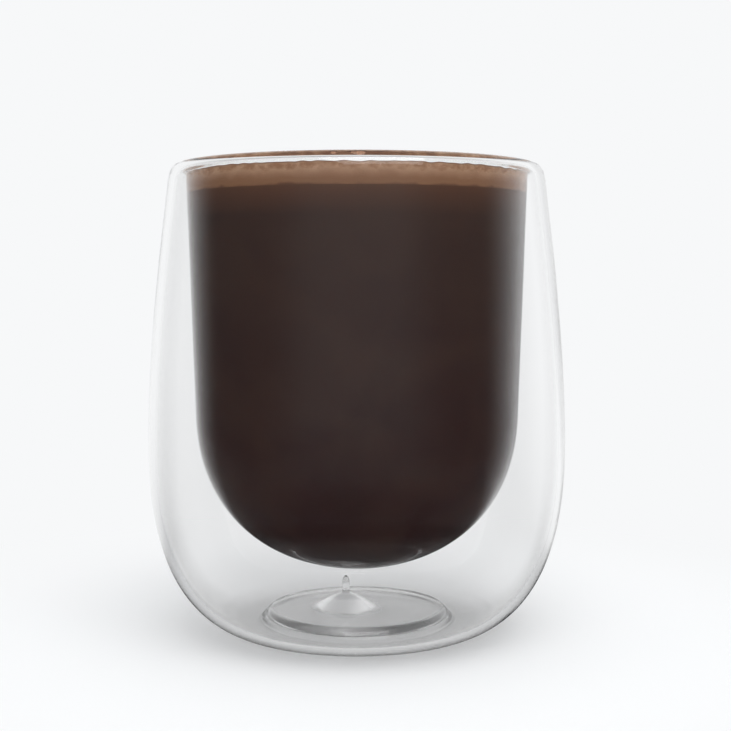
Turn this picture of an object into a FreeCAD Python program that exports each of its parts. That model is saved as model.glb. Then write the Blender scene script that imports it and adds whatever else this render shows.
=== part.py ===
"""Caffe mocha in its double-walled glass tumbler, in millimetres.

The glass stands on the XY plane, with its axis on +Z and the origin at the middle of its foot.
Its outer wall and its bowl are two shells of clear glass fused at the lip, with sealed air
between them. The bowl holds dark mocha and, floating on that, a layer of brown milk foam.
Every curve of the glass is a cubic whose end points and handles are worked out from the sheet.
"""
import FreeCAD, Part
import os
from math import cos, sin
from operator import add, mul, sub, truediv

import Sketcher

Vector = FreeCAD.Vector

# Driving dimensions. A "fullness" says how far a curve's handle reaches towards its corner:
# 0.55 makes a quarter of an ellipse, and more makes the corner squarer. A "slope" is the run
# over the rise of a leaning wall.
DIMENSIONS = {
    # outer wall
    "glass_height": 98.5,          # foot to the crest of the lip
    "belly_radius": 44.1,          # widest point of the outer wall
    "belly_height": 38.7,
    "belly_fullness": 0.81,
    "heel_fullness": 0.37,         # foot end of the curve from the foot up to the belly
    "foot_radius": 21.6,           # outer edge of the flat ring that the glass stands on
    "foot_width": 1.0,
    "side_fullness": 0.365,         # belly end of the curve from the belly up to the shoulder
    "side_blend": 13.5,            # length over which that curve straightens into the shoulder
    "side_slope": 0.125,           # inward lean at the shoulder
    "shoulder_inset": 4.6,         # shoulder in from the belly
    "shoulder_drop": 3.5,          # shoulder below the crest
    "shoulder_fullness": 0.85,
    "outer_wall": 1.6,
    # lip, where the two walls are fused
    "lip_inset": 2.8,              # crest in from the shoulder
    "mouth_inset": 2.5,            # mouth of the bowl in from the crest
    "mouth_drop": 1.7,             # height over which the mouth rounds out to the crest
    "lip_fullness": 0.45,
    # punt, the raised middle of the base
    "punt_step": 2.8,              # width of the slope between it and the foot
    "punt_rise": 2.1,
    "punt_fullness": 0.50,
    "base_wall": 2.1,
    # bowl, the inner shell that holds the drink
    "bowl_base_height": 13.5,      # underside of the bowl, at the axis
    "bowl_curve_rise": 32.1,       # from there up to where its straight side begins
    "bowl_base_fullness": 0.49,
    "bowl_side_fullness": 0.70,
    "bowl_slope": 0.0325,           # outward lean of the straight side
    "bowl_wall": 1.6,
    # gap between the walls
    "lip_wall": 1.4,               # solid glass between its top and the crest
    "gap_fall": 2.2,               # from its top down to where its inner side runs straight
    # seal, where the gap was closed off in the middle of the base
    "seal_offset": 2.4,            # hand-made, so it sits off the glass's axis
    "seal_radius": 6.8,
    "seal_rise": 3.0,
    "seal_root": 0.6,              # how deep its root is fused into the base
    "neck_radius": 0.9,
    "tip_radius": 0.8,
    "tip_clearance": 2.5,          # tip to the underside of the bowl
    # drink
    "foam_bottom_drop": 6.2,       # underside of the foam, below the crest
    "foam_top_drop": 2.3,         # mean top of the foam, below the crest
    "foam_relief": 0.22,           # how far its top rises and falls
}
FOAM_GRID = 17                     # points each way that the foam's top is drawn through

doc = FreeCAD.newDocument("CaffeMocha")
sheet = doc.addObject("Spreadsheet::Sheet", "Sizes")
for row, (alias, value) in enumerate(DIMENSIONS.items(), 1):
    sheet.set(f"A{row}", alias)
    sheet.set(f"B{row}", str(value))
    sheet.setAlias(f"B{row}", alias)
doc.recompute()


# ---- Sizes that stay tied to the sheet

class Size:
    """A number together with the sheet formula that gives it; arithmetic carries both along."""

    def __init__(self, value, formula):
        self.value, self.formula = value, formula


def size_operator(work, sign):
    """An arithmetic operator of two Sizes, or of a Size and a plain number on either side."""
    def join(left, right):
        left, right = (term if isinstance(term, Size) else Size(term, str(term))
                       for term in (left, right))
        return Size(work(left.value, right.value), f"({left.formula} {sign} {right.formula})")
    return join, lambda right, left: join(left, right)


Size.__add__, Size.__radd__ = size_operator(add, "+")
Size.__sub__, Size.__rsub__ = size_operator(sub, "-")
Size.__mul__, Size.__rmul__ = size_operator(mul, "*")
Size.__truediv__, Size.__rtruediv__ = size_operator(truediv, "/")


def size(alias):
    return Size(float(DIMENSIONS[alias]), f"Sizes.{alias}")


# Places that several sections share
SHOULDER_RADIUS = size("belly_radius") - size("shoulder_inset")
SHOULDER_HEIGHT = size("glass_height") - size("shoulder_drop")
LIP_RADIUS = SHOULDER_RADIUS - size("lip_inset")
MOUTH_RADIUS = LIP_RADIUS - size("mouth_inset")
MOUTH_HEIGHT = size("glass_height") - size("mouth_drop")
FOOT_INSIDE = size("foot_radius") - size("foot_width")
PUNT_RADIUS = FOOT_INSIDE - size("punt_step")
BASE_TOP = size("punt_rise") + size("base_wall")
BOWL_FLOOR = size("bowl_base_height") + size("bowl_wall")
BOWL_SIDE_HEIGHT = size("bowl_base_height") + size("bowl_curve_rise")
GAP_TOP = size("glass_height") - size("lip_wall")
FOAM_BOTTOM = size("glass_height") - size("foam_bottom_drop")
FOAM_TOP = size("glass_height") - size("foam_top_drop")


# ---- Drawing sections and turning them

def at(point):
    """The present position of a point of a section."""
    return Vector(*(place.value if isinstance(place, Size) else place for place in point), 0)


def pin(sketch, geometry, vertex, point):
    """Fix a vertex of the sketch at a point (X, Z), where a plain 0 puts it on the axis."""
    for kind, axis, place in (("DistanceX", -2, point[0]), ("DistanceY", -1, point[1])):
        if isinstance(place, Size):
            distance = Sketcher.Constraint(kind, -1, 1, geometry, vertex, place.value)
            index = sketch.addConstraint(distance)
            sketch.setExpression(f"Constraints[{index}]", place.formula)
        else:
            sketch.addConstraint(Sketcher.Constraint("PointOnObject", geometry, vertex, axis))


def draw_section(body, name, start, strokes):
    """Draw a closed half section on the body's XZ plane and return its sketch.

    Each stroke runs on from the last one: one point makes a line, and two handles with an end
    point make a cubic. The last stroke ends at the start.
    """
    sketch = body.newObject("Sketcher::SketchObject", name)
    plane = next(part for part in body.Origin.OriginFeatures if part.Role == "XZ_Plane")
    sketch.AttachmentSupport = [(plane, "")]
    sketch.MapMode = "FlatFace"
    begin, drawn = start, []
    for *handles, end in strokes:
        places = [at(point) for point in (begin, *handles, end)]
        if handles:
            curve = Part.BSplineCurve()
            curve.buildFromPolesMultsKnots(places, [4, 4], [0, 1], False, 3)
        else:
            curve = Part.LineSegment(*places)
        drawn.append(sketch.addGeometry(curve))
        pin(sketch, drawn[-1], 1, begin)
        if handles:
            # the curve's poles are exposed as circles that follow it, one for each pole in order
            sketch.exposeInternalGeometry(drawn[-1])
            pin(sketch, drawn[-1] + 2, 3, handles[0])
            pin(sketch, drawn[-1] + 3, 3, handles[1])
        begin = end
    for last, following in zip(drawn, drawn[1:] + drawn[:1]):
        sketch.addConstraint(Sketcher.Constraint("Coincident", last, 2, following, 1))
    return sketch


def turn(body, kind, name, sketch, axis="V_Axis"):
    """Turn a section all the way round, as a Revolution or a Groove."""
    feature = body.newObject(f"PartDesign::{kind}", name)
    feature.Profile = sketch
    feature.ReferenceAxis = (sketch, [axis])
    feature.Angle = 360


def new_body(label):
    body = doc.addObject("PartDesign::Body", label.title())
    body.Label = label
    body.Placement = FreeCAD.Placement()
    return body


# ---- Glass

def bowl_side(wall, height):
    """The point of the bowl's straight side at a height, a wall's thickness outside its cavity."""
    return MOUTH_RADIUS + wall - size("bowl_slope") * (MOUTH_HEIGHT - height), height


def bowl_curve(wall, floor):
    """The rounded bottom of the bowl, from its floor on the axis up to its straight side."""
    radius, height = bowl_side(wall, BOWL_SIDE_HEIGHT)
    reach = size("bowl_side_fullness") * (height - floor)
    return ((size("bowl_base_fullness") * radius, floor),
            (radius - size("bowl_slope") * reach, height - reach),
            (radius, height))


def heel_curve(inset):
    """The outer wall from the foot up to the belly, drawn a wall's thickness inside it."""
    belly, foot, height = size("belly_radius") - inset, size("foot_radius"), size("belly_height")
    return ((foot + size("heel_fullness") * (belly - foot), inset),
            (belly, height - size("belly_fullness") * (height - inset)),
            (belly, height))


def side_curve(inset, height):
    """The outer wall from the belly up to a height at or just below the shoulder."""
    radius = SHOULDER_RADIUS + size("side_slope") * (SHOULDER_HEIGHT - height) - inset
    belly, blend = size("belly_height"), size("side_blend")
    return ((size("belly_radius") - inset, belly + size("side_fullness") * (height - belly)),
            (radius + size("side_slope") * blend, height - blend),
            (radius, height))


def punt_curve(middle_height, foot, foot_height):
    """The step of the base from its raised middle out and down to its foot."""
    reach = size("punt_fullness") * (foot - PUNT_RADIUS)
    return ((PUNT_RADIUS + reach, middle_height),
            (foot - reach, foot_height),
            (foot, foot_height))


def make_glass():
    """Both walls as one solid of revolution, hollowed by the sealed gap between them."""
    glass = new_body("glass")
    height, fullness = size("glass_height"), size("lip_fullness")
    shoulder_reach = size("shoulder_fullness") * size("shoulder_drop")
    walls = draw_section(glass, "Walls", (0, size("punt_rise")), [
        [(PUNT_RADIUS, size("punt_rise"))],
        punt_curve(size("punt_rise"), FOOT_INSIDE, 0),
        [(size("foot_radius"), 0)],
        heel_curve(0),
        side_curve(0, SHOULDER_HEIGHT),
        [(SHOULDER_RADIUS - size("side_slope") * shoulder_reach, SHOULDER_HEIGHT + shoulder_reach),
         (LIP_RADIUS + fullness * size("lip_inset"), height),
         (LIP_RADIUS, height)],
        [(LIP_RADIUS - fullness * size("mouth_inset"), height),
         bowl_side(0, MOUTH_HEIGHT + fullness * size("mouth_drop")),
         (MOUTH_RADIUS, MOUTH_HEIGHT)],
        [bowl_side(0, BOWL_SIDE_HEIGHT)],
        [*reversed(bowl_curve(0, BOWL_FLOOR)[:2]), (0, BOWL_FLOOR)],
        [(0, size("punt_rise"))],
    ])
    turn(glass, "Revolution", "TurnedWalls", walls)

    # the gap narrows under the shoulder into a rounded top; a cubic whose handles are equally
    # high rises three quarters of the way to them from the mean height of its ends
    gap_outside = side_curve(size("outer_wall"), SHOULDER_HEIGHT)
    gap_inside = bowl_side(size("bowl_wall"), GAP_TOP - size("gap_fall"))
    crown = (8 * GAP_TOP - gap_outside[-1][1] - gap_inside[1]) / 6
    lean = size("side_slope") * (crown - SHOULDER_HEIGHT)
    bowl_base = bowl_curve(size("bowl_wall"), size("bowl_base_height"))
    gap = draw_section(glass, "Gap", (0, BASE_TOP), [
        [(PUNT_RADIUS, BASE_TOP)],
        punt_curve(BASE_TOP, size("foot_radius"), size("outer_wall")),
        heel_curve(size("outer_wall")),
        gap_outside,
        [(gap_outside[-1][0] - lean, crown), bowl_side(size("bowl_wall"), crown), gap_inside],
        [bowl_side(size("bowl_wall"), BOWL_SIDE_HEIGHT)],
        [*reversed(bowl_base[:2]), (0, size("bowl_base_height"))],
        [(0, BASE_TOP)],
    ])
    turn(glass, "Groove", "SealedGap", gap)
    return glass


def add_seal(glass):
    """The mound and drawn-out tip on the base where the gap was closed, a little off the axis."""
    axis, mound, rise = -1 * size("seal_offset"), size("seal_radius"), size("seal_rise")
    neck, tip = size("neck_radius"), size("tip_radius")
    root = BASE_TOP - size("seal_root")
    mound_top = BASE_TOP + rise
    tip_top = size("bowl_base_height") - size("tip_clearance")
    tip_rise = tip_top - mound_top
    tip_middle = mound_top + 0.55 * tip_rise
    section = draw_section(glass, "Seal", (axis, root), [
        [(axis + mound, root)],
        [(axis + mound, BASE_TOP)],
        [(axis + 0.72 * mound, BASE_TOP + 0.35 * rise),
         (axis + 0.40 * mound, mound_top - 0.1 * rise),
         (axis + neck, mound_top)],
        [(axis + 0.7 * neck, mound_top + 0.2 * tip_rise),
         (axis + tip, tip_middle - 0.25 * tip_rise),
         (axis + tip, tip_middle)],
        [(axis + tip, tip_middle + 0.25 * tip_rise),
         (axis + 0.55 * tip, tip_top),
         (axis, tip_top)],
        [(axis, root)],
    ])
    line = section.addGeometry(Part.LineSegment(at((axis, root)), at((axis, tip_top))), True)
    pin(section, line, 1, (axis, root))
    pin(section, line, 2, (axis, tip_top))
    turn(glass, "Revolution", "FusedSeal", section, "Axis0")


# ---- Drink

def make_filling(label, bottom, bottom_line, top):
    """A solid of revolution that fills the cavity from its bottom line up to a level."""
    filling = new_body(label)
    section = draw_section(filling, f"{label.title()}Section", (0, bottom), [
        bottom_line,
        [bowl_side(0, top)],
        [(0, top)],
        [(0, bottom)],
    ])
    turn(filling, "Revolution", f"Turned{label.title()}", section)
    return filling


def foam_swell(across, along):
    """Rise or fall of the foam's top, from -1 to 1, at a place given in mouth radii."""
    broad = sin(1.3 * across + 0.7 * along - 0.2)
    patches = cos(3.1 * across - 1.2) * sin(2.6 * along + 0.9)
    ripples = sin(6.2 * across + 4.9 * along) * cos(5.3 * along - 2.1 * across)
    return 0.45 * broad + 0.35 * patches + 0.2 * ripples


def make_foam():
    """The foam: a plain disc of the cavity, cut off by a slab with an uneven top."""
    disc = make_filling("disc", FOAM_BOTTOM, [bowl_side(0, FOAM_BOTTOM)], MOUTH_HEIGHT)
    mouth, level = MOUTH_RADIUS.value, FOAM_TOP.value
    relief, depth = size("foam_relief").value, size("foam_bottom_drop").value
    reach = 1.1 * mouth
    steps = [reach * (2 * step / (FOAM_GRID - 1) - 1) for step in range(FOAM_GRID)]
    surface = Part.BSplineSurface()
    surface.interpolate([[Vector(x, y, level + relief * foam_swell(x / mouth, y / mouth))
                          for y in steps] for x in steps])
    slab = doc.addObject("Part::Feature", "UnevenSlab")
    slab.Shape = surface.toShape().extrude(Vector(0, 0, -2 * depth))
    slab.Placement = FreeCAD.Placement()
    foam = doc.addObject("Part::Common", "Foam")
    foam.Label = "foam"
    foam.Base, foam.Tool = disc, slab
    foam.Placement = FreeCAD.Placement()
    return foam


glass = make_glass()
add_seal(glass)
mocha = make_filling("mocha", BOWL_FLOOR, bowl_curve(0, BOWL_FLOOR), FOAM_BOTTOM)
foam = make_foam()
doc.recompute()

for item in doc.Objects:
    if {"Invalid", "Error"} & set(item.State):
        raise RuntimeError(f"{item.Label} did not recompute: {item.State}")
os.makedirs("parts", exist_ok=True)
parts = (glass, mocha, foam)
for part in parts:
    shape = part.Shape
    if shape.isNull() or not shape.isValid() or len(shape.Solids) != 1:
        raise RuntimeError(f"{part.Label} is not one valid solid")
for part in parts:
    part.Shape.exportStep(f"parts/{part.Label}.step")
    print(f"{part.Label}: {part.Shape.Volume / 1000:.1f} cm3")
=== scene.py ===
"""A caffe mocha in its double-walled glass tumbler, standing on a pale table in soft light.

Lengths in the sections are in millimetres, and a piece's mesh is in metres in the frame of the
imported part: the glass stands on the XY plane, with its axis on +Z. Lengths in materials, and
those of the camera and the lamp, are in metres.
"""
import math

import bpy
import numpy as np
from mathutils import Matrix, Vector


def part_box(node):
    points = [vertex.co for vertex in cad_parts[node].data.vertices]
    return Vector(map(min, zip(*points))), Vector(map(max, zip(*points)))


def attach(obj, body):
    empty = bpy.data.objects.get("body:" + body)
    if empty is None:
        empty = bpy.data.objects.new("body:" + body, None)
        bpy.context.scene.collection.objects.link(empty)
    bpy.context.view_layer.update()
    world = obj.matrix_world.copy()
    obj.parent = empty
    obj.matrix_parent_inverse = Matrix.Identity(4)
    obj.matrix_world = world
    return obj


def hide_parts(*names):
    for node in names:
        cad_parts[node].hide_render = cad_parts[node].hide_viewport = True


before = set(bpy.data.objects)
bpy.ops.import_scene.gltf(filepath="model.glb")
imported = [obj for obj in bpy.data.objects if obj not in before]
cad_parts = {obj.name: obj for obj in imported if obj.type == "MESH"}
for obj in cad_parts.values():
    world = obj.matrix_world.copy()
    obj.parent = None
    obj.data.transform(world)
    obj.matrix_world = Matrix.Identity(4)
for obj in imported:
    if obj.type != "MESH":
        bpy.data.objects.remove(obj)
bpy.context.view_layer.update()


# ==== View
# A short telephoto lens from just below the height of the rim, tilted a little down, so that
# the drink fills the middle and the rim shows as a thin arc.

eye_distance, eye_height = 0.287, 0.0757
tilted_down, turned_right = 3.88, 0.365

camera = bpy.data.objects.new("camera", bpy.data.cameras.new("camera"))
camera.data.sensor_width = 36
camera.data.lens = 66.5
camera.data.clip_start = 0.01
camera.location = (0, -eye_distance, eye_height)
camera.rotation_euler = (math.radians(90 - tilted_down), 0, math.radians(-turned_right))
bpy.context.scene.collection.objects.link(camera)
bpy.context.scene.camera = camera


# ==== Glass
# Two shells of clear borosilicate, blown separately and fused at the lip into a thick rounded
# bead. The air between them was sealed off at the base with a drawn-out drop of glass.

# the box's narrower half-width is used, so that the turned outline stays inside it
glass_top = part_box("glass")[1] * 1000
glass_height, belly_radius = glass_top.z, min(glass_top.xy)
belly_height, outer_wall, bowl_wall = 38.7, 1.6, 1.6
shoulder_radius, shoulder_height = belly_radius - 4.6, glass_height - 3.5
side_slope, shoulder_reach = 0.125, 2.975
lip_radius, lip_wall, crown_depth = shoulder_radius - 2.8, 1.4, 2.2
mouth_radius, mouth_height = lip_radius - 2.5, glass_height - 1.7
foot_radius, foot_edge, punt_radius, punt_rise, base_top = 21.6, 1.0, 17.8, 2.1, 4.2
bowl_base, bowl_side_height, bowl_slope = 13.5, 45.6, 0.0325
seal_offset, seal_radius, mound_rise, tip_gap = 2.4, 6.8, 3.0, 2.5
neck_radius, tip_radius = 0.9, 0.8

# how far the curves' handles reach: shares of a curve's width or rise, then millimetres
heel_flat, heel_upright, belly_upright = 0.37, 0.81, 0.365
bowl_flat, bowl_upright = 0.49, 0.70
shoulder_run, lip_out, lip_in, mouth_up = 13.5, 1.26, 1.125, 0.765


def stroke(*points, steps):
    """Points along a straight run or a cubic, without its start.

    The sum over k of (n choose k) (1 - t)^(n - k) t^k times point k, for t from 0 to 1.
    """
    n, t = len(points) - 1, np.linspace(0, 1, steps + 1)[1:, None]
    return sum(math.comb(n, k) * (1 - t) ** (n - k) * t**k * np.array(point, float)
               for k, point in enumerate(points))


def heel(inset):
    """Start, handles and end of the outer wall's curve from the foot up to the belly.

    It leaves the foot level and reaches the belly upright, moved in by the inset.
    """
    belly = belly_radius - inset
    return ((foot_radius, inset), (foot_radius + heel_flat * (belly - foot_radius), inset),
            (belly, belly_height - heel_upright * (belly_height - inset)),
            (belly, belly_height))


def side(inset, height):
    """The same from the belly up to a height near the shoulder.

    It leaves the belly upright and ends on a slanted line: r = shoulder radius + slope times the
    depth below the shoulder, less the inset.
    """
    radius = shoulder_radius + side_slope * (shoulder_height - height) - inset
    return ((belly_radius - inset, belly_height),
            (belly_radius - inset, belly_height + belly_upright * (height - belly_height)),
            (radius + side_slope * shoulder_run, height - shoulder_run), (radius, height))


def bowl_side(wall, height):
    """A point of the bowl's straight side, which leans out as it rises.

    r = mouth radius + wall - slope times the depth below the mouth.
    """
    return mouth_radius + wall - bowl_slope * (mouth_height - height), height


def bowl_bottom(wall):
    """The bowl's rounded bottom from the axis out, a wall's thickness outside its cavity.

    It leaves the axis level and ends along the slope of the bowl's side.
    """
    floor = bowl_base + bowl_wall - wall
    radius, height = bowl_side(wall, bowl_side_height)
    reach = bowl_upright * (height - floor)
    return ((0, floor), (bowl_flat * radius, floor),
            (radius - bowl_slope * reach, height - reach), (radius, height))


def punt_step(middle_height, foot, foot_height):
    """The base's step from its raised middle down to its foot, level at both ends."""
    reach = 0.5 * (foot - punt_radius)
    return ((punt_radius, middle_height), (punt_radius + reach, middle_height),
            (foot - reach, foot_height), (foot, foot_height))


def skin(outline, centre=0.0, around=192):
    """Points, quads and pole triangles of a closed surface turned about an upright line.

    x = c + r cos u, y = r sin u, z = h, for u once round. The outline holds r and h, for each row
    or for each point of each row, and its first and last rows are the poles, where r is 0.
    """
    radius, height = (np.asarray(part, float) for part in outline)
    rows, u = len(radius) - 2, np.arange(around) * 2 * np.pi / around
    radius, height, centre = (
        np.broadcast_to(part.reshape(part.shape[0], -1) if part.ndim else part,
                        (rows + 2, around))
        for part in (radius, height, np.asarray(centre, float)))
    points = np.stack([centre + radius * np.cos(u), radius * np.sin(u), height], -1)
    points = np.concatenate([points[0, :1], points[1:-1].reshape(-1, 3), points[-1, :1]])
    index = 1 + np.arange(rows * around).reshape(rows, around)
    after = np.roll(index, -1, axis=1)
    quads = np.stack([index[:-1], after[:-1], after[1:], index[1:]], -1).reshape(-1, 4)
    first_pole, last_pole = np.zeros(around, int), np.full(around, rows * around + 1)
    fans = np.concatenate([np.stack([after[0], index[0], first_pole], -1),
                           np.stack([index[-1], after[-1], last_pole], -1)])
    return points, quads, fans


def smooth_object(name, mesh):
    """An object at the origin that shows the mesh with smooth shading."""
    mesh.shade_smooth()
    piece = bpy.data.objects.new(name, mesh)
    bpy.context.scene.collection.objects.link(piece)
    return piece


def make_piece(name, *skins):
    """One smooth object from closed skins given in millimetres."""
    points, faces, start = [], [], 0
    for skin_points, quads, fans in skins:
        points.append(skin_points)
        faces += (quads + start).tolist() + (fans + start).tolist()
        start += len(skin_points)
    mesh = bpy.data.meshes.new(name)
    mesh.from_pydata(np.concatenate(points) / 1000, [], faces)
    return smooth_object(name, mesh)


# the outer skin, from the middle of the underside up over the lip and down into the bowl
outside = np.concatenate([
    [(0, punt_rise)],
    stroke((0, punt_rise), (punt_radius, punt_rise), steps=8),
    stroke(*punt_step(punt_rise, foot_radius - foot_edge, 0), steps=16),
    stroke((foot_radius - foot_edge, 0), (foot_radius, 0), steps=1),
    stroke(*heel(0), steps=40),
    stroke(*side(0, shoulder_height), steps=30),
    stroke((shoulder_radius, shoulder_height),
           (shoulder_radius - side_slope * shoulder_reach, shoulder_height + shoulder_reach),
           (lip_radius + lip_out, glass_height), (lip_radius, glass_height), steps=24),
    stroke((lip_radius, glass_height), (lip_radius - lip_in, glass_height),
           bowl_side(0, mouth_height + mouth_up), (mouth_radius, mouth_height), steps=16),
    stroke((mouth_radius, mouth_height), bowl_side(0, bowl_side_height), steps=16),
    stroke(*reversed(bowl_bottom(0)), steps=40),
]).T

# the sealed air space, from under the bowl up to the lip and down inside the outer wall; the
# handles of its crown are set so that the middle of that curve lies a lip's wall below the rim
gap_top = glass_height - lip_wall
gap_outside = side(outer_wall, shoulder_height)
gap_inside = bowl_side(bowl_wall, gap_top - crown_depth)
crown = (8 * gap_top - shoulder_height - gap_inside[1]) / 6
wall_side = np.concatenate([
    [(0, bowl_base)],
    stroke(*bowl_bottom(bowl_wall), steps=40),
    stroke(bowl_side(bowl_wall, bowl_side_height), gap_inside, steps=12),
    stroke(gap_inside, bowl_side(bowl_wall, crown),
           (gap_outside[-1][0] - side_slope * (crown - shoulder_height), crown),
           gap_outside[-1], steps=24),
    stroke(*reversed(gap_outside), steps=30),
    stroke(*reversed(heel(outer_wall)), steps=40),
    stroke(*reversed(punt_step(base_top, foot_radius, outer_wall)), steps=16),
])

# the seal: a low mound on the base, drawn up into a thin neck with a rounded tip
seal_flat_rows = 6
mound_top, tip_top = base_top + mound_rise, bowl_base - tip_gap
tip_rise = tip_top - mound_top
tip_middle = mound_top + 0.55 * tip_rise
seal_side = np.concatenate([
    stroke((punt_radius, base_top), (seal_radius, base_top), steps=seal_flat_rows),
    stroke((seal_radius, base_top), (0.72 * seal_radius, base_top + 1.05),
           (0.40 * seal_radius, mound_top - 0.3), (neck_radius, mound_top), steps=20),
    stroke((neck_radius, mound_top), (0.7 * neck_radius, mound_top + 0.2 * tip_rise),
           (tip_radius, tip_middle - 0.25 * tip_rise), (tip_radius, tip_middle), steps=8),
    stroke((tip_radius, tip_middle), (tip_radius, tip_middle + 0.25 * tip_rise),
           (0.55 * tip_radius, tip_top), (0, tip_top), steps=8),
])
# the rows' centres slide from the glass's axis to the seal's over the flat of the base
slide = np.concatenate([np.zeros(len(wall_side)), np.linspace(0, 1, seal_flat_rows + 1)[1:],
                        np.ones(len(seal_side) - seal_flat_rows)])
glass = make_piece("tumbler", skin(outside),
                   skin(np.concatenate([wall_side, seal_side]).T, -seal_offset * slide))


def linear(colour):
    """An sRGB hex colour as linear RGBA: ((c + 0.055) / 1.055)^2.4, or c / 12.92 when dark."""
    c = np.array([int(colour[k:k + 2], 16) / 255 for k in (0, 2, 4)])
    return (*np.where(c > 0.04045, ((c + 0.055) / 1.055) ** 2.4, c / 12.92), 1.0)


def add(tree, kind, inputs=(), **settings):
    """A new node with its settings, and each input set to a value or linked to an output."""
    made = tree.nodes.new("ShaderNode" + kind)
    for name, value in settings.items():
        setattr(made, name, value)
    for socket, value in dict(inputs).items():
        if isinstance(value, bpy.types.NodeSocket):
            tree.links.new(value, made.inputs[socket])
        else:
            made.inputs[socket].default_value = value
    return made


def new_finish(name):
    """An empty material of that name, its node tree, and the Object coordinates in it."""
    made = bpy.data.materials.new(name)
    made.use_nodes = True
    made.node_tree.nodes.clear()
    return made, made.node_tree, add(made.node_tree, "TexCoord").outputs["Object"]


# Borosilicate, blown and flame-polished: perfectly smooth to the touch, but its thickness
# wanders by hundredths of a millimetre over a centimetre or two, which bends what is behind it.
# The underside, which lay on the annealing belt, is faintly dulled and blurs the base's step.
blown_glass, tree, place = new_finish("flame-polished borosilicate")
drawn = add(tree, "Mapping", {"Vector": place, "Scale": (1, 1, 0.35)})
waves = add(tree, "TexNoise", {"Vector": drawn.outputs[0], "Scale": 1 / 0.016,
                               "Detail": 1.0, "Roughness": 0.4})
wander = add(tree, "Bump", {"Height": waves.outputs[0], "Strength": 0.25,
                            "Distance": 0.0002})
height = add(tree, "SeparateXYZ", {0: place})
dulled = add(tree, "MapRange", {"Value": height.outputs[2], "From Min": 0.0022,
                                "From Max": 0.0030, "To Min": 0.20, "To Max": 0.0})
clear = add(tree, "BsdfPrincipled", {
    "Base Color": linear("ffffff"), "Transmission Weight": 1.0, "IOR": 1.47,
    "Roughness": dulled.outputs[0], "Normal": wander.outputs[0]})
add(tree, "OutputMaterial", {"Surface": clear.outputs[0]})
glass.data.materials.append(blown_glass)
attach(glass, "root")
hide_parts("glass")


# ==== Mocha
# Espresso, chocolate and milk stirred together: an opaque dark brown drink that wets the bowl.
# It reaches a tenth of a millimetre into the wall, as the wetted glass shows no air between.

wet = 0.12
foam_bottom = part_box("foam")[0].z * 1000

# a narrow row at the top keeps the smooth shading of the sharp edge there off the side
edge_row = 0.05
mocha_outline = np.concatenate([
    [(0, bowl_base + bowl_wall - wet)],
    stroke(*bowl_bottom(wet), steps=40),
    stroke(bowl_side(wet, bowl_side_height), bowl_side(wet, foam_bottom - edge_row), steps=24),
    stroke(bowl_side(wet, foam_bottom - edge_row), bowl_side(wet, foam_bottom), steps=1),
    stroke(bowl_side(wet, foam_bottom), (0, foam_bottom), steps=12),
]).T
mocha = make_piece("mocha_drink", skin(mocha_outline, around=128))

# Chocolate milk drink: fine cocoa and fat droplets scatter the light at once, so it looks matt
# and solid, a little lighter under the foam, with slow swirls a centimetre or two across, and
# painted shade darkens it towards the bottom.
chocolate_drink, tree, place = new_finish("stirred chocolate and espresso")
height = add(tree, "SeparateXYZ", {0: place})
swirls = add(tree, "TexNoise", {"Vector": place, "Scale": 1 / 0.014, "Detail": 3.0,
                                "Distortion": 0.6})
# painted shade: the drink's colour darkens from 85 mm high down to 30 mm
rise = add(tree, "MapRange", {"Value": height.outputs[2], "From Min": 0.030,
                              "From Max": 0.085})
depth = add(tree, "Mix", {0: rise.outputs[0], 6: linear("462c2c"), 7: linear("5b4640")},
            data_type="RGBA")
under = add(tree, "MapRange", {"Value": height.outputs[2], "From Min": 0.0870,
                               "From Max": foam_bottom / 1000})
upper = add(tree, "Mix", {0: under.outputs[0], 6: depth.outputs[2], 7: linear("7d5a4a")},
            data_type="RGBA")
mottle = add(tree, "MapRange", {"Value": swirls.outputs[0], "From Min": 0.3,
                                "From Max": 0.7, "To Max": 0.25})
body = add(tree, "Mix", {0: mottle.outputs[0], 6: upper.outputs[2], 7: linear("6b5446")},
           data_type="RGBA")
surface = add(tree, "BsdfPrincipled", {
    "Base Color": body.outputs[2], "IOR": 1.35, "Roughness": 0.5, "Specular IOR Level": 0.05})
add(tree, "OutputMaterial", {"Surface": surface.outputs[0]})
mocha.data.materials.append(chocolate_drink)
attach(mocha, "root")
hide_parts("mocha")


# ==== Foam
# Steamed milk foam floating on the drink, stained brown by it and thick with tiny bubbles. It
# clings to the glass in an uneven edge, and lies a little lower in the middle.

foam_top = glass_height - 2.3
cling_height, cling_width = 0.80, 1.6


def ripple(u, v, seed, low, high, terms=14):
    """Smooth unevenness of about -1 to 1: a sum of cosines of u and v, weaker as they get finer.

    The sum of w cos(n u + l n v + p) over random whole numbers n, leans l and phases p, with
    w = n^(-1/2), divided by half the sum of w.
    """
    draw = np.random.default_rng(seed)
    turns = draw.integers(low, high, terms)
    lean, phase = draw.uniform(-1, 1, terms), draw.uniform(0, 2 * np.pi, terms)
    weight = turns**-0.5
    waves = np.cos(turns * u[..., None] + lean * turns * v[..., None] + phase)
    return (weight * waves).sum(-1) / weight.sum() * 2


def foam_edge(u):
    """Height at which the foam clings to the glass, in slow swells and bubble-sized scallops.

    The foam's top + the height it clings to + 0.20 of a ripple of 2 to 15 waves round the glass
    + 0.24 of one of 24 to 89 waves.
    """
    return (foam_top + cling_height + 0.20 * ripple(u, u * 0, 5, low=2, high=16)
            + 0.24 * ripple(u, u * 0, 6, low=24, high=90, terms=20))


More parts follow.
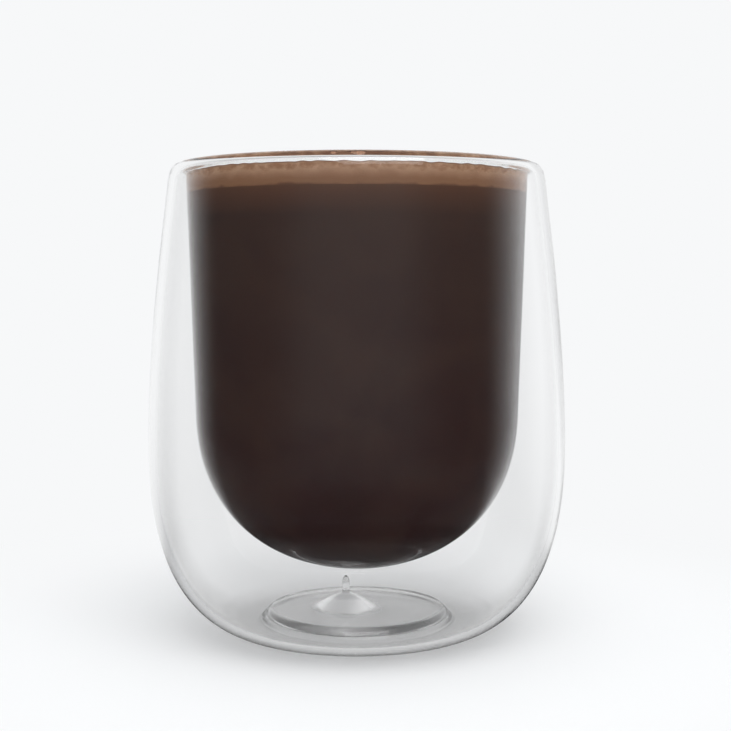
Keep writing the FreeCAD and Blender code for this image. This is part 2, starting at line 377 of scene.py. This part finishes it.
def foam_surface(radius, u):
    """Height of the foam's top: it sinks from its edge as 1 - e^(-d / w), and undulates.

    d is the distance from the wall, and w the width over which the foam clings to it. The swells
    are 0.12 mm high on a scale of 9 mm, and 0.05 mm on one of 2 mm.
    """
    sunk = 1 - np.exp(-(mouth_radius - radius).clip(0) / cling_width)
    across, along = radius * np.cos(u), radius * np.sin(u)
    swell = (0.12 * ripple(across / 9, along / 9, 8, low=1, high=9)
             + 0.05 * ripple(across / 2, along / 2, 9, low=1, high=9))
    return foam_edge(u) * (1 - sunk) + (foam_top - 0.1 + swell) * sunk


foam_around = 640
bearings = np.arange(foam_around) * 2 * np.pi / foam_around
# here too a narrow first row keeps the lower edge's shading off the side
side_rows = np.concatenate([[0.01], np.linspace(0, 1, 9)[1:]])[:, None]
wall_height = foam_bottom + side_rows * (foam_edge(bearings) - foam_bottom)
wall_radius = mouth_radius + wet - bowl_slope * (mouth_height - wall_height)
top_radius = wall_radius[-1] * (1 - np.linspace(0, 1, 60)[1:, None])
top_height = foam_surface(top_radius, bearings + 0 * top_radius)
top_height[-1] = top_height[-1].mean()
under_radius = np.linspace(0, wall_radius[0, 0], 6)[:, None] + 0 * bearings
under_height = foam_bottom + 0 * under_radius
foam = make_piece("milk_foam", skin((
    np.concatenate([under_radius, wall_radius, top_radius]),
    np.concatenate([under_height, wall_height, top_height])), around=foam_around))

# Milk foam stained with cocoa: matt, pale where the bubbles are largest at the top and darker
# where it has drained. Bubbles half a millimetre across dent it, and finer ones don't show.
cocoa_foam, tree, place = new_finish("cocoa-stained milk foam")
drained_level = foam_bottom / 1000
height = add(tree, "SeparateXYZ", {0: place})
patches = add(tree, "TexNoise", {"Vector": place, "Scale": 1 / 0.003, "Detail": 3.0})
# the height, shifted by up to 1.6 mm from patch to patch, says how far the foam has drained
shift = add(tree, "Math", {0: patches.outputs[0], 1: 0.0016, 2: height.outputs[2]},
            operation="MULTIPLY_ADD")
rise = add(tree, "MapRange", {"Value": shift.outputs[0], "From Min": drained_level + 0.0018,
                              "From Max": foam_top / 1000 + 0.0008},
           interpolation_type="SMOOTHSTEP")
wetted = add(tree, "Mix", {0: rise.outputs[0], 6: linear("b08364"), 7: linear("e2b898")},
             data_type="RGBA")
stains = add(tree, "TexNoise", {"Vector": place, "Scale": 1 / 0.0016, "Detail": 4.0,
                                "Roughness": 0.6})
near_top = add(tree, "Math", {0: stains.outputs[0], 1: rise.outputs[0]},
               operation="MULTIPLY")
stained = add(tree, "MapRange", {"Value": near_top.outputs[0], "From Min": 0.36,
                                 "From Max": 0.60, "To Max": 0.7})
streaked = add(tree, "Mix", {0: stained.outputs[0], 6: wetted.outputs[2],
                             7: linear("b07a55")}, data_type="RGBA")
drained = add(tree, "MapRange", {"Value": shift.outputs[0], "From Min": drained_level + 0.0012,
                                 "From Max": drained_level + 0.0006})
soaked = add(tree, "Mix", {0: drained.outputs[0], 6: streaked.outputs[2],
                           7: linear("85604e")}, data_type="RGBA")
# the open top, where the surface faces up, is not wetted by the glass, and cocoa dusts it
dusted = add(tree, "Mix", {0: patches.outputs[0], 6: linear("8a5d45"), 7: linear("b88e72")},
             data_type="RGBA")
facing = add(tree, "SeparateXYZ", {0: add(tree, "NewGeometry").outputs["Normal"]})
upward = add(tree, "MapRange", {"Value": facing.outputs[2], "From Min": 0.2,
                                "From Max": 0.7})
body = add(tree, "Mix", {0: upward.outputs[0], 6: soaked.outputs[2], 7: dusted.outputs[2]},
           data_type="RGBA")
fine_bubbles = add(tree, "TexVoronoi", {"Vector": place, "Scale": 1 / 0.0005})
dents = add(tree, "Bump", {"Height": fine_bubbles.outputs[0], "Strength": 0.4,
                           "Distance": 0.0001}, invert=True)
surface = add(tree, "BsdfPrincipled", {
    "Base Color": body.outputs[2], "IOR": 1.34, "Roughness": 0.6, "Specular IOR Level": 0.3,
    "Normal": dents.outputs[0]})
add(tree, "OutputMaterial", {"Surface": surface.outputs[0]})
foam.data.materials.append(cocoa_foam)
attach(foam, "root")
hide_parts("foam")


# ==== Bubbles
# The largest bubbles of the foam: thin brown domes of milk film, up to about a millimetre
# across, that have gathered along the glass and in loose clusters on the top.


def scatter(name, shape, places, sizes, turns):
    """One mesh of many copies of a small skin, each scaled, turned about Z and set in place.

    p = s (x cos t - y sin t, x sin t + y cos t, z) + c, for every point of the skin.
    """
    corners, quads, fans = shape
    cos, sin = np.cos(turns)[:, None], np.sin(turns)[:, None]
    x, y, z = corners.T
    points = np.stack([x * cos - y * sin, x * sin + y * cos, z + 0 * cos], -1)
    points = points * sizes[:, None, None] + places[:, None]
    index = np.concatenate([quads.ravel(), fans.ravel()])
    loops = (index + len(corners) * np.arange(len(places))[:, None]).ravel()
    face_sizes = np.tile(np.repeat([4, 3], [len(quads), len(fans)]), len(places))
    mesh = bpy.data.meshes.new(name)
    mesh.vertices.add(len(places) * len(corners))
    mesh.vertices.foreach_set("co", points.ravel() / 1000)
    mesh.loops.add(len(loops))
    mesh.loops.foreach_set("vertex_index", loops)
    mesh.polygons.add(len(face_sizes))
    mesh.polygons.foreach_set("loop_start",
                              np.concatenate([[0], np.cumsum(face_sizes)[:-1]]))
    mesh.update(calc_edges=True)
    mesh.validate()
    return smooth_object(name, mesh)


def ball(rise, sink, around=8, rows=3):
    """A unit dome over a shallow keel: x^2 + y^2 + (z / rise)^2 = 1, or z / sink below."""
    tilt = np.linspace(-np.pi / 2, np.pi / 2, 2 * rows + 1)
    outline = np.cos(tilt).clip(0), np.where(tilt < 0, sink, rise) * np.sin(tilt)
    outline[0][[0, -1]] = 0
    return skin(outline, around=around)


draw = np.random.default_rng(21)
count = 1500
smallest_bubble, bubble_range, cluster_reach = 0.10, 0.50, 0.9
turns = draw.uniform(0, 2 * np.pi, count)
clustered = ripple(turns, turns * 0, 31, low=2, high=14, terms=8) > draw.uniform(-1, 0.6, count)
bubble_size = smallest_bubble + bubble_range * draw.uniform(0, 1, count) ** 3
# a clustered bubble lies within a millimetre or so of the glass, and a loose one anywhere
edge_gap = bubble_size + np.where(clustered, draw.exponential(cluster_reach, count),
                                  (1 - draw.uniform(0, 1, count) ** 0.5) * mouth_radius)
kept = edge_gap < mouth_radius - 0.5
turns, bubble_size, edge_gap = turns[kept], bubble_size[kept], edge_gap[kept]
radius = mouth_radius - 0.15 - edge_gap
places = np.stack([radius * np.cos(turns), radius * np.sin(turns),
                   foam_surface(radius, turns)], -1)
bubbles = scatter("foam_bubbles", ball(0.75, 0.4), places, bubble_size, turns)

# Milk film over air: shiny and smooth, a shade paler than the foam where the dome is thin.
milk_film, tree, place = new_finish("wet milk film")
blotches = add(tree, "TexNoise", {"Vector": place, "Scale": 1 / 0.0012, "Detail": 2.0})
body = add(tree, "Mix", {0: blotches.outputs[0], 6: linear("7a5846"), 7: linear("bb9a82")},
           data_type="RGBA")
surface = add(tree, "BsdfPrincipled", {
    "Base Color": body.outputs[2], "IOR": 1.34, "Roughness": 0.12, "Specular IOR Level": 0.5})
add(tree, "OutputMaterial", {"Surface": surface.outputs[0]})
bubbles.data.materials.append(milk_film)
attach(bubbles, "root")


# ==== Cocoa
# Cocoa powder that has not stirred in: dark crumbs of a tenth to a third of a millimetre, caught
# in drifts on the foam and along its edge.

draw = np.random.default_rng(22)
count = 2600
smallest_crumb, crumb_range = 0.05, 0.13
turns = draw.uniform(0, 2 * np.pi, count)
radius = (mouth_radius - 0.4) * draw.uniform(0, 1, count) ** 0.45
drifts = ripple(radius * np.cos(turns) / 6, radius * np.sin(turns) / 6, 33, low=1, high=9)
kept = drifts > draw.uniform(-0.7, 0.9, count)
turns, radius = turns[kept], radius[kept]
crumb_size = smallest_crumb + crumb_range * draw.uniform(0, 1, len(turns)) ** 2
places = np.stack([radius * np.cos(turns), radius * np.sin(turns),
                   foam_surface(radius, turns) + 0.4 * crumb_size], -1)
# a crumb is a small ball, swollen and pinched by 1 + 0.25 cos(3 x + 5 y + 4 z), and turned by
# seven times its own bearing, so that neighbours don't lie alike
crumb, *crumb_faces = ball(0.8, 0.8, around=6, rows=2)
crumb = crumb * (1 + 0.25 * np.cos(3 * crumb[:, :1] + 5 * crumb[:, 1:2] + 4 * crumb[:, 2:]))
crumbs = scatter("cocoa_crumbs", (crumb, *crumb_faces), places, crumb_size, turns * 7)

# Cocoa powder: dry to damp, wholly matt, from red-brown to nearly black where it is wet.
cocoa_powder, tree, place = new_finish("damp cocoa powder")
damp = add(tree, "TexNoise", {"Vector": place, "Scale": 1 / 0.0015, "Detail": 1.0})
body = add(tree, "Mix", {0: damp.outputs[0], 6: linear("4a2a1c"), 7: linear("82543c")},
           data_type="RGBA")
surface = add(tree, "BsdfPrincipled", {
    "Base Color": body.outputs[2], "Roughness": 0.9, "Specular IOR Level": 0.2})
add(tree, "OutputMaterial", {"Surface": surface.outputs[0]})
crumbs.data.materials.append(cocoa_powder)
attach(crumbs, "root")


# ==== Table and light
# A wide pale table top under a large soft light, in a room with pale walls.

# the top lies a hair below the foot, so that the two never share a plane
table_bottom, table_top, table_middle, table_radius = -20, -0.02, 400, 3000
table_outline = np.array([(0, table_bottom), (table_radius, table_bottom),
                          (table_radius, table_top), (table_middle, table_top),
                          (0, table_top)]).T
table = make_piece("table", skin(table_outline, around=96))
table.data.shade_flat()
pale = linear("f7f8f9")


def depth_is(tree, path, kind, number):
    """1 where that many bounces of a kind lie behind the light's path, and 0 elsewhere."""
    return add(tree, "Math", {0: path.outputs[kind], 1: number, 2: 0.5},
               operation="COMPARE").outputs[0]


def room_light(tree, path, bearing):
    """Strength of the room's light along a bearing: 1, or what a single reflection finds there.

    A single reflection finds the pale wall behind the glass and a little to its right, a dim
    screen in front of it that is brightest in the middle, and a darker gap at each side. The
    wall is dimmer straight behind where the reflection is inside the glass, and wider where the
    light has only skimmed through the outer wall.
    """
    way = add(tree, "SeparateXYZ", {0: bearing})
    aside = add(tree, "Math", {0: way.outputs[0]}, operation="ABSOLUTE")
    screen = add(tree, "MapRange", {"Value": aside.outputs[0], "From Min": 0.85,
                                    "From Max": 0.35, "To Min": 0.04, "To Max": 0.15},
                 interpolation_type="SMOOTHSTEP")
    back = add(tree, "VectorMath", {0: bearing, 1: (0.12, 1.0, 0.0)},
               operation="DOT_PRODUCT").outputs["Value"]
    skimmed = depth_is(tree, path, "Transmission Depth", 2.0)
    wall_start = add(tree, "MapRange", {"Value": skimmed, "To Min": 0.12, "To Max": -0.15})
    wall_full = add(tree, "MapRange", {"Value": skimmed, "To Min": 0.90, "To Max": 0.70})
    wall = add(tree, "MapRange", {"Value": back, "From Min": wall_start.outputs[0],
                                  "From Max": wall_full.outputs[0]},
               interpolation_type="SMOOTHSTEP")
    inside = add(tree, "Math", {0: path.outputs["Transmission Depth"], 1: 1.5},
                 operation="GREATER_THAN")
    straight = add(tree, "MapRange", {"Value": back, "From Min": 0.86, "From Max": 1.0,
                                      "To Min": 1.0, "To Max": 0.45})
    brightest = add(tree, "Mix", {0: inside.outputs[0], 2: 1.0, 3: straight.outputs[0]},
                    data_type="FLOAT")
    found = add(tree, "Mix", {0: wall.outputs[0], 2: screen.outputs[0],
                              3: brightest.outputs[0]}, data_type="FLOAT")
    return add(tree, "Mix", {0: depth_is(tree, path, "Glossy Depth", 1.0), 2: 1.0,
                             3: found.outputs[0]}, data_type="FLOAT").outputs[0]


# Sprayed lacquer on board: matt and nearly white, with a grain finer than a millimetre.
painted, tree, place = new_finish("matt white lacquer")
path = add(tree, "LightPath")
grain = add(tree, "TexNoise", {"Vector": place, "Scale": 1 / 0.0006})
coat = add(tree, "Mix", {0: grain.outputs[0], 6: linear("e8e9ea"), 7: linear("eeeff0")},
           data_type="RGBA")
matt = add(tree, "BsdfPrincipled", {"Base Color": coat.outputs[2], "Roughness": 0.7,
                                    "Specular IOR Level": 0.2})

# seen directly, the table runs into the background beyond the glass's shadow
away = add(tree, "VectorMath", {0: place}, operation="LENGTH").outputs["Value"]
once = depth_is(tree, path, "Glossy Depth", 1.0)
direct = add(tree, "MapRange", {"Value": away, "From Min": 0.045, "From Max": 0.13,
                                "To Min": 0.40}, interpolation_type="SMOOTHSTEP")
share = add(tree, "Mix", {0: once, 2: direct.outputs[0], 3: 1.0}, data_type="FLOAT")
bare = add(tree, "Math", {0: 1.0, 1: path.outputs["Diffuse Depth"]},
           operation="SUBTRACT", use_clamp=True)
blend = add(tree, "Math", {0: share.outputs[0], 1: bare.outputs[0]}, operation="MULTIPLY")

# reflected once, it shows the room's own light, but painted shade makes it dark close in front of
# the glass, and under the glass too, except for a painted highlight: the bright patch that the
# heel gathers there is painted on as glow
bearing = add(tree, "VectorMath", {0: place}, operation="NORMALIZE").outputs["Vector"]
spot = add(tree, "SeparateXYZ", {0: place})
behind = add(tree, "Math", {0: spot.outputs[1], 1: -0.05}, operation="MAXIMUM")
reach = add(tree, "Math", {0: behind.outputs[0], 1: 5.0, 2: away}, operation="MULTIPLY_ADD")
beyond = add(tree, "MapRange", {"Value": reach.outputs[0], "From Min": -0.10,
                                "From Max": 0.10}, interpolation_type="SMOOTHSTEP")
# painted shade: close in front of the glass the reflected table glows only at 0.03
dimmed = add(tree, "Mix", {0: beyond.outputs[0], 2: 0.03, 3: room_light(tree, path, bearing)},
             data_type="FLOAT")
beneath = add(tree, "MapRange", {"Value": away, "From Min": 0.10, "From Max": 0.05},
              interpolation_type="SMOOTHSTEP")
# painted highlight under the glass (0.85) for rays that have crossed two glass surfaces, painted
# shade (0.03) for the rest
patch = add(tree, "MapRange", {"Value": depth_is(tree, path, "Transmission Depth", 2.0),
                               "To Min": 0.03, "To Max": 0.85})
echoed = add(tree, "Mix", {0: beneath.outputs[0], 2: dimmed.outputs[0],
                           3: patch.outputs[0]}, data_type="FLOAT")
level = add(tree, "Mix", {0: once, 2: 1.0, 3: echoed.outputs[0]}, data_type="FLOAT")
far = add(tree, "Emission", {"Color": pale, "Strength": level.outputs[0]})
both = add(tree, "MixShader", {0: blend.outputs[0], 1: matt.outputs[0], 2: far.outputs[0]})
add(tree, "OutputMaterial", {"Surface": both.outputs[0]})
table.data.materials.append(painted)

# The room: the pale background stands behind the glass and shows through it. A reflection
# shows it only towards the back, because the side of the room in front of the glass is dim.
room = bpy.data.worlds.new("room")
room.use_nodes = True
tree = room.node_tree
tree.nodes.clear()
bpy.context.scene.world = room
path = add(tree, "LightPath")
level = room_light(tree, path, add(tree, "TexCoord").outputs["Generated"])
lit = add(tree, "Math", {0: path.outputs["Diffuse Depth"], 1: 0.5},
          operation="GREATER_THAN")
strength = add(tree, "Mix", {0: lit.outputs[0], 2: level, 3: 1.0}, data_type="FLOAT")
glow = add(tree, "Background", {"Color": pale, "Strength": strength.outputs[0]})
add(tree, "OutputWorld", {"Surface": glow.outputs[0]})

# a square soft lamp above and in front, aimed at the middle of the glass
lamp_size, lamp_watts = 0.6, 3.5
lamp_place, lamp_target = (0.12, -0.40, 0.66), (0, 0, 0.05)
light = bpy.data.lights.new("overhead", "AREA")
light.size, light.energy = lamp_size, lamp_watts
lamp = bpy.data.objects.new("overhead", light)
lamp.location = lamp_place
aim = np.array(lamp_target, float) - lamp_place
lamp.rotation_euler = (math.acos(-aim[2] / np.linalg.norm(aim)), 0,
                       math.atan2(aim[0], -aim[1]) + math.pi)
bpy.context.scene.collection.objects.link(lamp)
lamp.visible_camera = lamp.visible_glossy = False

scene = bpy.context.scene
scene.view_settings.view_transform = "Standard"
# light crosses many glass surfaces on its way through, so it is followed for more bounces
scene.cycles.max_bounces = 24
scene.cycles.transmission_bounces = 20
scene.cycles.glossy_bounces = 8
scene.cycles.diffuse_bounces = 6
scene.cycles.transparent_max_bounces = 8
